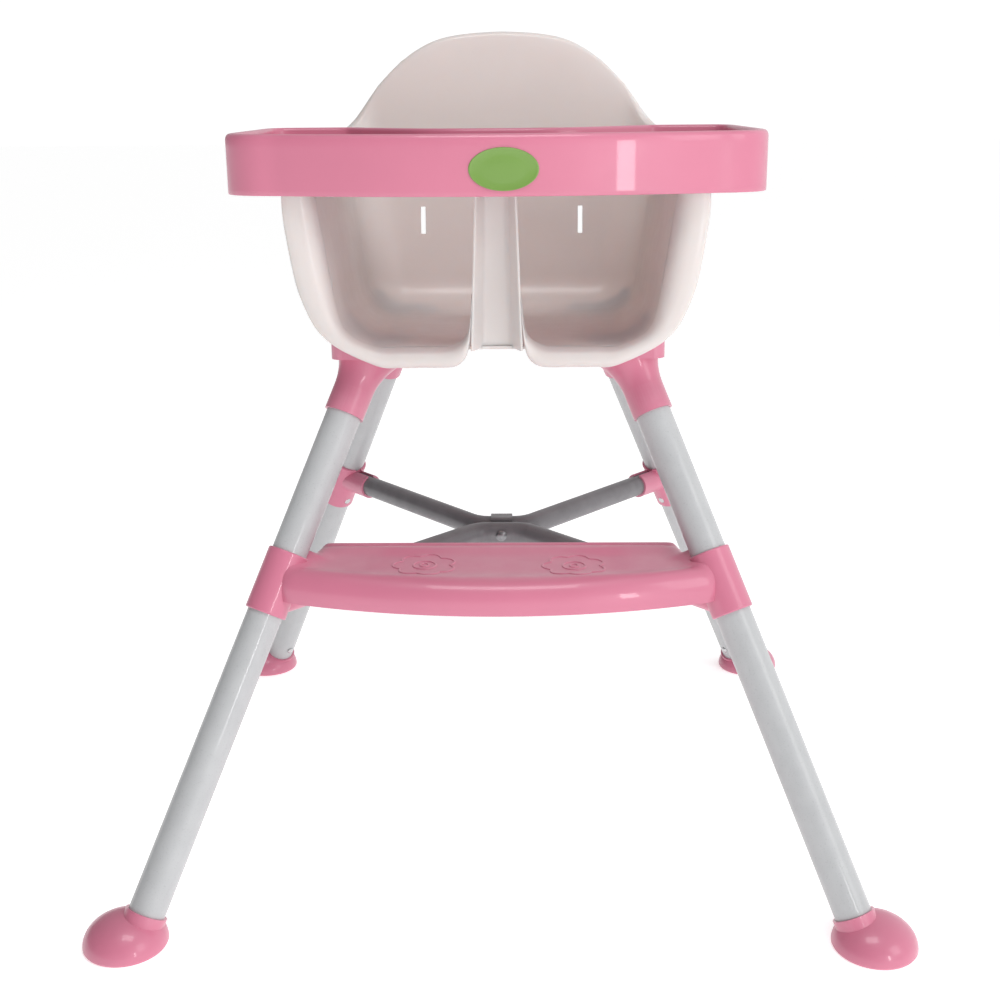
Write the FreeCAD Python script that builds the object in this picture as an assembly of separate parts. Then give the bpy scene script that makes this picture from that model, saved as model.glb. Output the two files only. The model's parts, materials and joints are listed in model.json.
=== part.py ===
import FreeCAD, Part
import math
import os
from FreeCAD import Vector as V

# Baby high chair: a moulded bucket seat with a crotch post on four splayed tube legs,
# a slide-on tray, a footrest and an X brace.  Millimetres, +Z up, the sitter faces -Y.
# The origin is on the floor, under the middle of the frame.

# Legs
TUBE_D = 35.0
TUBE_WALL = 1.6
LEG_TOP_Z = 520.0
FOOT_HALF_X = {"front": 343.0, "rear": 332.0}
FOOT_HALF_Y = 343.5
TOP_HALF_X = {"front": 131.0, "rear": 116.5}
TOP_HALF_Y = 106.0
SIDES = {"left": -1, "right": 1}
ENDS = {"front": -1, "rear": 1}

# Heights on the leg axis
TUBE_TOP_Z = 505.0
SOCKET_LOW_Z = 464.0
SLEEVE_TOP_Z = 338.0
SLEEVE_LOW_Z = 284.0
JOINT_Z = 313.0
TUBE_LOW_Z = 15.0
BUTTON_Z = {"leg": 293.0, "foot": 43.0}
BRACE_Z = 304.0
BRACE_END_Z = {"front": 293.0, "rear": 314.0}

# Sleeves, sockets and feet
SLEEVE_R = 20.5
FIT = 0.1
FOOT_R = 39.7
FOOT_H = 31.0
STUB_R = 14.6
STUB_REACH = 56.0
ARM_START = 32.5

# Brace
BRACE_D = 24.0
BRACE_WALL = 1.5
BRACE_CORNER_X = 26.0
BRACE_GAP = 0.15

# Seat
WALL = 3.0
PAN_Z = 532.0
SEAT_FRONT_Y = -172.0
ARM_Z = 716.0
ARM_FLANGE = 24.0
SEAT_TOP_Z = 845.0
FRAME_LOW_Z = 517.0
PAD_LOW_Z = 524.0
SOCKET_PLATE = 4.0

# Tray
TRAY_TOP_Z = {"front": 733.5, "rear": 739.8}
TRAY_LOW_Z = 679.0
TRAY_FLOOR_Z = 716.3
TRAY_FRONT_Y = -216.0
TRAY_HALF_X = 257.0
TRAY_REAR_Y = 72.0

# Footrest
REST_TOP_Z = 330.0
REST_LOW_Z = 298.0
REST_FLOOR_Z = 327.0
REST_REAR_Y = -126.0
REST_FRONT_Y = -264.0

os.makedirs("parts", exist_ok=True)


def save(name, shape):
    shape.exportStep("parts/" + name + ".step")


def solid(shape):
    """The one solid of a boolean result."""
    return max(shape.Solids, key=lambda s: s.Volume)


def box(x0, x1, y0, y1, z0, z1):
    return Part.makeBox(x1 - x0, y1 - y0, z1 - z0, V(x0, y0, z0))


def mirrored(shape):
    return shape.mirror(V(0, 0, 0), V(1, 0, 0))


def prism(points, direction):
    wire = Part.makePolygon(points + [points[0]])
    return Part.Face(wire).extrude(direction)


# ---------------------------------------------------------------- leg frame

class Leg:
    """One splayed leg: its axis, and a frame with local Z up the tube and X inward."""

    def __init__(self, end, side):
        self.name = end + "_" + side
        self.end = end
        self.sx = SIDES[side]
        self.sy = ENDS[end]
        self.foot = V(self.sx * FOOT_HALF_X[end], self.sy * FOOT_HALF_Y, 0)
        self.top = V(self.sx * TOP_HALF_X[end], self.sy * TOP_HALF_Y, LEG_TOP_Z)
        self.axis = (self.top - self.foot).normalize()
        inward = V(-self.foot.x, -self.foot.y, 0)
        inward = inward - self.axis * inward.dot(self.axis)
        self.inward = inward.normalize()
        self.rotation = FreeCAD.Rotation(self.inward, V(0, 0, 0), self.axis, "ZXY")

    def at(self, z):
        return self.foot + (self.top - self.foot) * (z / LEG_TOP_Z)

    def length(self, z0, z1):
        return (z1 - z0) / self.axis.z

    def place(self, shape, z):
        moved = shape.copy()
        moved.Placement = FreeCAD.Placement(self.at(z), self.rotation)
        return moved

    def cylinder(self, radius, z0, z1):
        return Part.makeCylinder(radius, self.length(z0, z1), self.at(z0), self.axis)

    def cross_bore(self, radius, z, reach):
        """A round hole square to the tube, on the side that faces the chair's middle."""
        return Part.makeCylinder(radius, reach, self.at(z), self.inward)


LEGS = [Leg(end, side) for end in ENDS for side in SIDES]


# ---------------------------------------------------------------- seat

def seat_half_x(z):
    """Outer half width of the bucket at a height."""
    return 151.0 + 0.150 * (z - PAN_Z)


def seat_rear_y(z):
    """Outer rear wall of the bucket at a height: the back leans away."""
    return 158.0 + 0.116 * (z - PAN_Z)


def tub(grow_x, grow_y, corner, heel, front_y, low_z, high_z):
    """A solid bucket with round rear corners and a round heel, grown by the offsets."""
    sections = []
    for z in (low_z, high_z):
        half = seat_half_x(z) + grow_x
        rear = seat_rear_y(z) + grow_y
        ring = [V(-half, front_y, z), V(half, front_y, z), V(half, rear, z), V(-half, rear, z)]
        sections.append(Part.makePolygon(ring + [ring[0]]))
    body = Part.makeLoft(sections, True, True)
    middle_y = (front_y + 158.0) / 2
    upright = []
    for edge in body.Edges:
        box_ = edge.BoundBox
        if box_.ZLength > 50 and box_.YMin > middle_y:
            upright.append(edge)
    body = body.makeFillet(corner, upright)
    low = []
    for edge in body.Edges:
        box_ = edge.BoundBox
        if box_.ZMax < low_z + 0.01 and box_.YMax > front_y + 1:
            low.append(edge)
    return body.makeFillet(heel, low)


def side_profile(inset):
    """Region that the seat fills in side view: low arms that sweep up into the back."""
    y, z = inset, -inset
    curve = [V(0, 78 + y, ARM_Z + z), V(0, 96 + y, 722 + z), V(0, 110 + y, 739 + z),
             V(0, 119 + y, 764 + z), V(0, 125 + y, 800 + z), V(0, 128 + y, 870)]
    sweep = Part.BSplineCurve()
    sweep.interpolate(curve)
    arm = Part.makeLine(V(0, -300, ARM_Z + z), curve[0])
    rest = Part.makePolygon([curve[-1], V(0, 300, 870), V(0, 300, 400), V(0, -300, 400),
                             V(0, -300, ARM_Z + z)])
    face = Part.Face(Part.Wire([arm, sweep.toShape()] + rest.Edges))
    return face.extrude(V(600, 0, 0)).translated(V(-300, 0, 0))


def pulled_in(points, inset):
    """Points (x, z) of a line moved square to it, to its right-hand side."""
    moved = []
    for i, (x, z) in enumerate(points):
        a = points[max(i - 1, 0)]
        b = points[min(i + 1, len(points) - 1)]
        run = math.hypot(b[0] - a[0], b[1] - a[1])
        moved.append((x + inset * (b[1] - a[1]) / run, z - inset * (b[0] - a[0]) / run))
    return moved


def arch_profile(inset):
    """Region that the seat fills in front view: an arched back that flares into the arms."""
    right = [(0, SEAT_TOP_Z), (45, 842), (80, 834), (115, 813), (147, 781), (165, 760),
             (178, 745), (200, 734), (240, 730)]
    moved = pulled_in(right, inset)
    points = [V(-x, 0, z) for x, z in reversed(moved[1:])] + [V(x, 0, z) for x, z in moved]
    curve = Part.BSplineCurve()
    curve.interpolate(points)
    low = Part.makePolygon([points[-1], V(240, 0, 400), V(-240, 0, 400), points[0]])
    face = Part.Face(Part.Wire([curve.toShape()] + low.Edges))
    return face.extrude(V(0, 600, 0)).translated(V(0, -300, 0))


def front_outline(inset):
    """Face of the U-shaped front frame: round lower corners, and a notch below the post."""
    side = [(197.5, ARM_Z), (197.5, 698), (199.5, 668)]
    corner = [(199.5, 668), (195, 628), (185.5, 583), (164, 545), (117, 519.5), (93, FRAME_LOW_Z)]
    notch = [(46, FRAME_LOW_Z), (32, 522.5), (26.2, 536)]
    side, corner, notch = [[V(x, 0, z) for x, z in pulled_in(line, inset)]
                           for line in (side, corner, notch)]
    side[0].z = ARM_Z
    side[2] = corner[0]
    notch[2].z = 536
    corner[-1].z = notch[0].z = FRAME_LOW_Z + inset
    curve = Part.BSplineCurve()
    curve.interpolate(corner)
    half = [Part.makeLine(side[0], side[1]), Part.makeLine(side[1], side[2]), curve.toShape(),
            Part.makeLine(corner[-1], notch[0]), Part.Arc(*notch).toShape()]
    other = [mirrored(edge) for edge in half]
    bridge = Part.makeLine(notch[-1], V(-notch[-1].x, 0, notch[-1].z))
    top = Part.makeLine(V(-side[0].x, 0, ARM_Z), side[0])
    return Part.Face(Part.Wire(Part.__sortEdges__(half + other + [bridge, top])))


def front_ring(depth, inset):
    """The front frame as a plate, before the bucket's inside is taken away."""
    return front_outline(inset).extrude(V(0, depth, 0)).translated(V(0, SEAT_FRONT_Y, 0))


def frame_room(low_z):
    """All that lies inside the front frame's outline, above a height, through the seat's depth."""
    plate = front_outline(0).extrude(V(0, 400, 0)).translated(V(0, -200, 0))
    return plate.fuse(box(-60, 60, -200, 200, FRAME_LOW_Z, 560)).common(box(-300, 300, -200, 200, low_z, 700))


def post_section(z, half, web, depth, wall):
    """Channel outline at one height, open towards the front."""
    y0 = SEAT_FRONT_Y
    return [V(-half, y0, z), V(-half + wall, y0, z), V(-web, y0 + depth - wall, z),
            V(web, y0 + depth - wall, z), V(half - wall, y0, z), V(half, y0, z),
            V(web + wall * 0.8, y0 + depth, z), V(-web - wall * 0.8, y0 + depth, z)]


def crotch_post():
    low = post_section(PAN_Z, 25.0, 14.7, 24.8, 2.6)
    high = post_section(ARM_Z, 18.5, 11.0, 22.0, 2.6)
    wires = [Part.makePolygon(s + [s[0]]) for s in (low, high)]
    return Part.makeLoft(wires, True, True)


def leg_pad(leg, grow, low_z, high_z, corner):
    """Block under the bucket that carries one leg socket."""
    base = leg.at(LEG_TOP_Z)
    cx = base.x - leg.sx * 4
    cy = base.y
    pad = box(cx - 37 - grow, cx + 37 + grow, cy - 34 - grow, cy + 34 + grow, low_z, high_z)
    upright = [e for e in pad.Edges if e.BoundBox.ZLength > high_z - low_z - 0.01]
    return pad.makeFillet(corner, upright)


def socket_screw_points(leg):
    base = leg.at(LEG_TOP_Z)
    cx = base.x - leg.sx * 4
    return [V(cx - leg.sx * 29, base.y + dy, 0) for dy in (-26, 26)]


def seat_shell():
    inner_front = SEAT_FRONT_Y - 60
    outer = tub(0, 0, 46, 38, SEAT_FRONT_Y, PAN_Z, 870)
    inner = tub(-WALL, -WALL, 43, 35, inner_front, PAN_Z + WALL, 880)
    seat = outer.cut(inner)
    side = side_profile(0)
    arch = arch_profile(0)
    arm_lip = tub(ARM_FLANGE, 12, 52, 44, SEAT_FRONT_Y, PAN_Z, 870).cut(inner)
    seat = seat.fuse(arm_lip.cut(side_profile(WALL)))
    back_lip = tub(9, 9, 52, 44, SEAT_FRONT_Y, PAN_Z, 870).cut(inner)
    upper = box(-300, 300, 90, 300, 738, 900)
    seat = seat.fuse(back_lip.common(upper).cut(arch_profile(WALL)))
    seat = seat.common(side).common(arch)
    seat = seat.fuse(front_ring(WALL, 0).cut(inner))
    seat = seat.fuse(front_ring(11, 0).cut(front_ring(11, 2.6)).cut(inner))
    room = frame_room(PAD_LOW_Z)
    for leg in LEGS:
        seat = seat.fuse(leg_pad(leg, 0, PAD_LOW_Z, 556, 12).common(room).cut(inner))
    for s in (-1, 1):
        web = box(23, 45, SEAT_FRONT_Y, SEAT_FRONT_Y + WALL, 532, 556)
        web = web.cut(Part.makeCylinder(21, 10, V(45, SEAT_FRONT_Y - 2, 556), V(0, 1, 0)))
        seat = seat.fuse(web if s > 0 else mirrored(web))
    seat = seat.fuse(crotch_post())
    for s in (-1, 1):
        seat = seat.cut(box(s * 92 - 2.6, s * 92 + 2.6, 120, 220, 618, 649))
    for leg in LEGS:
        for p in socket_screw_points(leg):
            seat = seat.cut(Part.makeCylinder(1.8, 9.4, V(p.x, p.y, PAD_LOW_Z - 1), V(0, 0, 1)))
    return solid(seat.removeSplitter())


# ---------------------------------------------------------------- frame

def leg_socket(leg):
    """Trumpet-shaped socket whose top follows the round underside of the seat."""
    high = FRAME_LOW_Z + 29
    top = leg.length(SOCKET_LOW_Z, high + 10)
    r = SLEEVE_R - 0.5
    flare = Part.BSplineCurve()
    flare.interpolate([V(r, 0, 26), V(r + 0.8, 0, 36), V(r + 3.6, 0, 47), V(r + 8.5, 0, 58),
                       V(r + 14, 0, 67)])
    corners = [V(r + 14, 0, 67), V(r + 14, 0, top), V(0, 0, top), V(0, 0, 0), V(r, 0, 0), V(r, 0, 26)]
    edges = [Part.makeLine(a, b) for a, b in zip(corners, corners[1:])] + [flare.toShape()]
    wire = Part.Wire(Part.__sortEdges__(edges))
    cone = Part.Face(wire).revolve(V(0, 0, 0), V(0, 0, 1), 360)
    plate = leg_pad(leg, 0, PAD_LOW_Z - SOCKET_PLATE, high, 12)
    body = leg.place(cone, SOCKET_LOW_Z).fuse(plate)
    reach = leg_pad(leg, 0, 440, high, 12)
    body = body.common(reach.fuse(leg.cylinder(r + 5, SOCKET_LOW_Z - 20, TUBE_TOP_Z)))
    body = body.cut(frame_room(PAD_LOW_Z)).cut(box(-125, 125, -200, 200, PAD_LOW_Z, 600))
    body = body.cut(leg.cylinder(TUBE_D / 2 + FIT, SOCKET_LOW_Z - 20, TUBE_TOP_Z + 0.5))
    for p in socket_screw_points(leg):
        hole = Part.makeCylinder(2.1, 10, V(p.x, p.y, PAD_LOW_Z - 7), V(0, 0, 1))
        head_room = Part.makeCylinder(4.4, 12, V(p.x, p.y, PAD_LOW_Z - SOCKET_PLATE - 12), V(0, 0, 1))
        body = body.cut(hole).cut(head_room)
    return solid(body)


def tube(leg, z0, z1):
    pipe = leg.cylinder(TUBE_D / 2, z0, z1)
    return pipe.cut(leg.cylinder(TUBE_D / 2 - TUBE_WALL, z0 - 5, z1 + 5))


def lower_tube(leg):
    pipe = tube(leg, TUBE_LOW_Z, JOINT_Z - 2.2)
    for z in BUTTON_Z.values():
        pipe = pipe.cut(leg.cross_bore(4.1, z, 30))
    return solid(pipe)


def brace_corner(leg):
    """Where the middle lines of the brace tube's arm and of its short middle meet."""
    return V(leg.sx * BRACE_CORNER_X, leg.sy * (BRACE_D / 2 + BRACE_GAP), BRACE_Z)


def brace_start(leg):
    """Where the brace's middle line meets the leg's."""
    return leg.at(BRACE_END_Z[leg.end])


def brace_direction(leg):
    return (brace_corner(leg) - brace_start(leg)).normalize()


def connector(leg):
    body = leg.cylinder(SLEEVE_R, SLEEVE_LOW_Z, SLEEVE_TOP_Z)
    rims = [e for e in body.Edges if e.Curve.TypeId == "Part::GeomCircle"]
    body = body.makeFillet(1.5, rims)
    way = brace_direction(leg)
    start = brace_start(leg)
    body = body.fuse(Part.makeCylinder(STUB_R, STUB_REACH, start, way))
    if leg.end == "front":
        body = body.fuse(rest_lug(leg, 0))
    body = body.cut(leg.cylinder(TUBE_D / 2 + FIT, SLEEVE_LOW_Z - 20, JOINT_Z - 2))
    body = body.cut(leg.cylinder(TUBE_D / 2 + FIT, JOINT_Z + 2, SLEEVE_TOP_Z + 20))
    body = body.cut(leg.cylinder(TUBE_D / 2 - 4, JOINT_Z - 5, JOINT_Z + 5))
    arm = Part.makeCylinder(BRACE_D / 2 + FIT, 40, start + way * (ARM_START - 0.5), way)
    body = body.cut(arm)
    slot = box(29, STUB_REACH + 4, -4, 4, 7, 24)
    slot.Placement = FreeCAD.Placement(start, FreeCAD.Rotation(way, V(0, 0, 0), V(0, 0, 1), "ZXY"))
    body = body.cut(slot)
    body = body.cut(leg.cross_bore(4.1, BUTTON_Z["leg"], 30))
    if leg.end == "front":
        for p in rest_screw_points(leg):
            body = body.cut(Part.makeCylinder(2.2, 12, V(p.x, p.y, 299), V(0, 0, 1)))
    return solid(body)


def foot(leg):
    centre = leg.foot + V(leg.sx * 8, -leg.sy * 4, 0)
    points = [V(FOOT_R - 1.2, 0, 0), V(FOOT_R, 0, 2.2)]
    for i in range(1, 7):
        a = math.radians(15 * i)
        points.append(V(FOOT_R * math.cos(a), 0, 2.2 + (FOOT_H - 2.2) * math.sin(a)))
    dome = Part.BSplineCurve()
    dome.interpolate(points[1:])
    edges = [Part.makeLine(V(0, 0, 0), points[0]), Part.makeLine(points[0], points[1]), dome.toShape(),
             Part.makeLine(points[-1], V(0, 0, 0))]
    body = Part.Face(Part.Wire(edges)).revolve(V(0, 0, 0), V(0, 0, 1), 360)
    if leg.sx < 0:
        body.rotate(V(0, 0, 0), V(0, 0, 1), 180)
    body.translate(centre)
    neck = leg.cylinder(TUBE_D / 2 + 2.6, 12.5, 27.5)
    body = body.fuse(neck)
    body = body.cut(leg.cylinder(TUBE_D / 2 + FIT, TUBE_LOW_Z - 0.5, 80))
    plug_r = TUBE_D / 2 - TUBE_WALL - FIT
    plug = leg.cylinder(plug_r, TUBE_LOW_Z - 3, 62)
    body = body.fuse(plug)
    body = body.cut(leg.cylinder(plug_r - 3.2, TUBE_LOW_Z + 2, 80))
    body = body.cut(leg.cross_bore(4.1, BUTTON_Z["foot"], 30))
    return solid(body)


# ---------------------------------------------------------------- snap buttons

def button_shape(tip, inner):
    """Push button along local X: a domed pin with a flange inside the tube."""
    pin_r = 4.0
    dome = 1.6
    outline = [V(inner - 1.4, 0, 0), V(tip, 0, 0), V(tip - dome, 0, pin_r), V(inner, 0, pin_r),
               V(inner, 0, pin_r + 1.5), V(inner - 1.4, 0, pin_r + 1.5)]
    arc = Part.Arc(outline[1], V(tip - dome * 0.27, 0, pin_r * 0.6), outline[2]).toShape()
    edges = [Part.makeLine(outline[0], outline[1]), arc]
    edges += [Part.makeLine(outline[i], outline[(i + 1) % 6]) for i in range(2, 6)]
    return Part.Face(Part.Wire(edges)).revolve(V(0, 0, 0), V(1, 0, 0), 360)


def spring_shape(inner, bore, up):
    """Leaf spring bent to a narrow V inside the tube: one leg under the button."""
    thick = 0.8
    reach = 24.0
    a = inner - 1.6
    b = -bore + 0.6
    outer = [V(a, -4, -6), V(a, -4, 4), V(a - 2.5, -4, reach), V(0, -4, reach + 8), V(b, -4, reach),
             V(b, -4, -6)]
    inside = [V(b + thick, -4, -6), V(b + thick, -4, reach - 0.3), V(0, -4, reach + 8 - thick * 1.6),
              V(a - 2.5 - thick, -4, reach - 0.5), V(a - thick, -4, 4), V(a - thick, -4, -6)]
    strip = prism(outer + inside, V(0, 8, 0))
    return strip if up else strip.mirror(V(0, 0, 0), V(0, 0, 1))


# Tip and flange distance from the tube's axis, bore round the spring, and whether it points up
BUTTON_FORM = {"leg": (21.8, 14.6, 15.9, False), "foot": (20.4, 11.0, 12.4, True)}


# ---------------------------------------------------------------- brace

def brace_tube(end):
    """One V-bent tube from side to side, with a short straight middle at the bolt."""
    legs = {leg.sx: leg for leg in LEGS if leg.end == end}
    bend = 30.0
    ends = {s: brace_start(legs[s]) + brace_direction(legs[s]) * ARM_START for s in (-1, 1)}
    path = []
    for s in (-1, 1):
        corner = brace_corner(legs[s])
        along = (ends[s] - corner).normalize()
        turn = math.acos(along.dot(V(s, 0, 0)))
        back = bend * math.tan(turn / 2)
        inside = (along - V(s, 0, 0)).normalize()
        crown = corner + inside * (bend / math.cos(turn / 2) - bend)
        path.append((ends[s], corner + along * back, crown, corner - V(s * back, 0, 0)))
    left, right = path
    edges = [Part.makeLine(left[0], left[1]), Part.Arc(left[1], left[2], left[3]).toShape(),
             Part.makeLine(left[3], right[3]), Part.Arc(right[3], right[2], right[1]).toShape(),
             Part.makeLine(right[1], right[0])]
    spine = Part.Wire(edges)
    start = left[0]
    way = (left[1] - left[0]).normalize()
    rings = []
    for radius in (BRACE_D / 2, BRACE_D / 2 - BRACE_WALL):
        ring = Part.Wire(Part.makeCircle(radius, start, way))
        rings.append(spine.makePipeShell([ring], True, False, 2))
    pipe = rings[0].cut(rings[1])
    pipe = pipe.cut(Part.makeCylinder(3.2, 60, V(0, -30, BRACE_Z), V(0, 1, 0)))
    return solid(pipe)


def brace_saddle():
    """Plate that wraps the top and front of the rear brace tube's straight middle."""
    y_mid = BRACE_D / 2 + BRACE_GAP
    bore = Part.makeCylinder(BRACE_D / 2 + 0.05, 40, V(-20, y_mid, BRACE_Z), V(1, 0, 0))
    skin = box(-12, 12, 0.4, y_mid + 9, BRACE_Z + 4.5, BRACE_Z + BRACE_D / 2 + 1.4)
    long = [e for e in skin.Edges if e.BoundBox.XLength > 20 and e.BoundBox.ZMin > BRACE_Z + 10]
    return solid(skin.makeFillet(3.0, long).cut(bore))


def brace_bolt():
    reach = BRACE_D + 2 * BRACE_GAP
    head = Part.makeSphere(8.0, V(0, -reach + 5.2, BRACE_Z)).common(box(-20, 20, -60, -reach, 0, 400))
    shank = Part.makeCylinder(3.0, 2 * reach + 7, V(0, -reach - 0.4, BRACE_Z), V(0, 1, 0))
    return head.fuse(shank)


def brace_nut():
    reach = BRACE_D + 2 * BRACE_GAP
    points = []
    for i in range(6):
        a = math.radians(60 * i)
        points.append(V(5.8 * math.cos(a), reach, BRACE_Z + 5.8 * math.sin(a)))
    return prism(points, V(0, 5, 0)).cut(Part.makeCylinder(3.05, 20, V(0, reach - 5, BRACE_Z), V(0, 1, 0)))


# ---------------------------------------------------------------- footrest

def rest_lug(leg, grow):
    """Tongue on a front connector that the footrest is screwed to."""
    x0, x1 = 157 - grow, 205 + grow
    if leg.sx < 0:
        x0, x1 = -x1, -x0
    return box(x0, x1, -214 - grow, -196 + grow, 303 - grow, 307 + (grow if grow else 0))


def rest_screw_points(leg):
    return [V(leg.sx * x, -205, 0) for x in (165, 183)]


def rest_outline(inset):
    """Plan of the footrest: straight at the back, bowed at the front, splayed ends."""
    rear = REST_REAR_Y - inset
    front = REST_FRONT_Y + inset
    k = inset * 1.1
    right = [V(176 - k, rear, 0), V(186 - k, rear - 6, 0), V(203 - k, -168, 0), V(209 - k, -190, 0),
             V(203 - k, -207, 0), V(190 - k, -215.5 + inset, 0)]
    left = [V(-p.x, p.y, 0) for p in right]
    half = [Part.makeLine(right[0], right[1]), Part.makeLine(right[1], right[2]),
            Part.Arc(right[2], right[3], right[4]).toShape(), Part.makeLine(right[4], right[5])]
    other = [mirrored(edge) for edge in half]
    nose = Part.Arc(right[5], V(0, front, 0), left[5]).toShape()
    back = Part.makeLine(left[0], right[0])
    return Part.Face(Part.Wire(Part.__sortEdges__(half + other + [nose, back])))


def footrest():
    slab = rest_outline(0).extrude(V(0, 0, REST_TOP_Z - REST_LOW_Z)).translated(V(0, 0, REST_LOW_Z))
    rim = [e for e in slab.Edges if e.BoundBox.ZMin > REST_TOP_Z - 0.1 and e.BoundBox.YMax < REST_REAR_Y - 1]
    slab = slab.makeFillet(9.0, rim)
    fronts = [leg for leg in LEGS if leg.end == "front"]
    for leg in fronts:
        collar = leg.cylinder(24.5, REST_LOW_Z - 20, REST_TOP_Z + 30)
        keep = box(0, 215, -260, -178, REST_LOW_Z, REST_TOP_Z + 9)
        slab = slab.fuse(collar.common(keep if leg.sx > 0 else mirrored(keep)))
    dish = rest_outline(15).extrude(V(0, 0, 20)).translated(V(0, 0, REST_FLOOR_Z))
    under_z = REST_FLOOR_Z - 3.2
    hollow = rest_outline(3).extrude(V(0, 0, 60)).translated(V(0, 0, under_z - 60))
    open_rear = box(-186, 186, -150, -100, 200, under_z)
    body = slab.cut(dish).cut(hollow).cut(open_rear)
    for leg in fronts:
        for p in rest_screw_points(leg):
            boss = Part.makeCylinder(5.0, REST_FLOOR_Z - 1 - 307.2, V(p.x, p.y, 307.2), V(0, 0, 1))
            body = body.fuse(boss)
            body = body.cut(Part.makeCylinder(2.0, 12, V(p.x, p.y, 307), V(0, 0, 1)))
        body = body.cut(leg.cylinder(SLEEVE_R + 0.25, 250, 380))
        body = body.cut(rest_lug(leg, 0.4))
        stub = Part.makeCylinder(STUB_R + 0.5, STUB_REACH + 60, brace_start(leg), brace_direction(leg))
        body = body.cut(stub.common(box(-400, 400, -400, 0, 0, under_z)))
    for s in (-1, 1):
        for i in range(6):
            a = math.radians(60 * i)
            middle = V(s * 78 + 11 * math.cos(a), -190 + 11 * math.sin(a), REST_FLOOR_Z - 1)
            body = body.fuse(Part.makeCylinder(7, 2.0, middle, V(0, 0, 1)))
    return solid(body.removeSplitter())


# ---------------------------------------------------------------- tray

def tray_outline(inset, rear_y):
    """Plan of the tray: bowed front, round corners and a bay for the child's chest."""
    front = TRAY_FRONT_Y + inset
    half = TRAY_HALF_X - inset
    corner = 46.0 - inset
    nose = V(0, front, 0)
    bow_x = 206.0
    bow = V(bow_x, -176.0 + inset, 0)
    turn = V(half, -130.0, 0)
    mid = V(bow_x + corner * 0.74, -176.0 + inset + corner * 0.30, 0)
    rear_corner = 26.0 - inset * 0.5
    r0 = V(half - 3, rear_y - rear_corner, 0)
    r1 = V(half - 3 - rear_corner * 0.3, rear_y - rear_corner * 0.3, 0)
    r2 = V(half - 3 - rear_corner, rear_y, 0)
    wing = V(160 + inset, rear_y, 0)
    bay = V(0, rear_y - 88 - inset, 0)
    b1 = V(128 + inset, rear_y - 30, 0)
    b2 = V(70 + inset * 0.5, rear_y - 78 - inset, 0)

    def flip(p):
        return V(-p.x, p.y, 0)

    edges = [Part.Arc(flip(bow), nose, bow).toShape()]
    edges.append(Part.Arc(bow, mid, turn).toShape())
    edges.append(Part.makeLine(turn, r0))
    edges.append(Part.Arc(r0, r1, r2).toShape())
    edges.append(Part.makeLine(r2, wing))
    curve = Part.BSplineCurve()
    curve.interpolate([wing, b1, b2, bay, flip(b2), flip(b1), flip(wing)])
    edges.append(curve.toShape())
    edges.append(Part.makeLine(flip(wing), flip(r2)))
    edges.append(Part.Arc(flip(r2), flip(r1), flip(r0)).toShape())
    edges.append(Part.makeLine(flip(r0), flip(turn)))
    edges.append(Part.Arc(flip(turn), flip(mid), flip(bow)).toShape())
    return Part.Face(Part.Wire(edges))


def tray_block(inset, z0, z1):
    return tray_outline(inset, TRAY_REAR_Y - inset).extrude(V(0, 0, z1 - z0)).translated(V(0, 0, z0))


def tray():
    low, high = TRAY_TOP_Z["front"], TRAY_TOP_Z["rear"]
    body = tray_block(0, TRAY_LOW_Z, high + 5)
    y0, y1 = TRAY_FRONT_Y, TRAY_REAR_Y
    above = [V(-300, y0, low), V(-300, y1, high), V(-300, y1 + 40, high), V(-300, y1 + 40, 800),
             V(-300, y0 - 40, 800), V(-300, y0 - 40, low)]
    body = body.cut(prism(above, V(600, 0, 0)))
    brim = [e for e in body.Edges if e.BoundBox.ZMin > low - 1]
    body = body.makeFillet(5.5, brim)
    dish = tray_block(11, TRAY_FLOOR_Z + 3, high + 10)
    under = tray_block(3, TRAY_LOW_Z - 10, TRAY_FLOOR_Z)
    rim_room = tray_block(3, TRAY_LOW_Z - 10, low - 3.5).cut(tray_block(8, TRAY_LOW_Z - 20, high + 5))
    body = body.cut(dish).cut(under)
    body = body.cut(rim_room.common(box(-300, 300, -300, 20, 600, 800)))
    body = body.cut(box(-214, 214, -120, 200, TRAY_LOW_Z - 20, TRAY_FLOOR_Z))
    for s in (-1, 1):
        rail = box(207.0, 210.5, -150, 50, 708.5, TRAY_FLOOR_Z + 1)
        hook = box(198.5, 210.5, -150, 50, 708.5, 711.5)
        guide = rail.fuse(hook)
        body = body.fuse(guide if s > 0 else mirrored(guide))
    return solid(body.removeSplitter())


def badge():
    """Plain oval plate that follows the tray's bowed front."""
    radius = (206.0 ** 2 + 40.0 ** 2) / 80.0
    centre = V(0, TRAY_FRONT_Y + radius, 0)
    skin = Part.makeCylinder(radius + 1.6, 60, V(centre.x, centre.y, 675), V(0, 0, 1))
    skin = skin.cut(Part.makeCylinder(radius, 60, V(centre.x, centre.y, 675), V(0, 0, 1)))
    oval = Part.Face(Part.Wire(Part.Ellipse(V(8.4, 0, 703), 31.5, 19.0).toShape()))
    oval.rotate(V(8.4, 0, 703), V(1, 0, 0), 90)
    return solid(oval.extrude(V(0, -300, 0)).common(skin))


# ---------------------------------------------------------------- screws

def screw(point, head_z, head_r, head_h, shank_r, shank_h):
    """Pan-head screw driven upwards: its head is below head_z."""
    at = V(point.x, point.y, head_z)
    head = Part.makeCylinder(head_r, head_h, at - V(0, 0, head_h), V(0, 0, 1))
    rim = [e for e in head.Edges if e.BoundBox.ZMax < head_z - head_h + 0.01]
    head = head.makeFillet(head_h * 0.4, rim)
    return head.fuse(Part.makeCylinder(shank_r, shank_h, at, V(0, 0, 1))).removeSplitter()


def screw_group(points, *form):
    return Part.makeCompound([solid(screw(p, *form)) for p in points])


# ---------------------------------------------------------------- export

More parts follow.
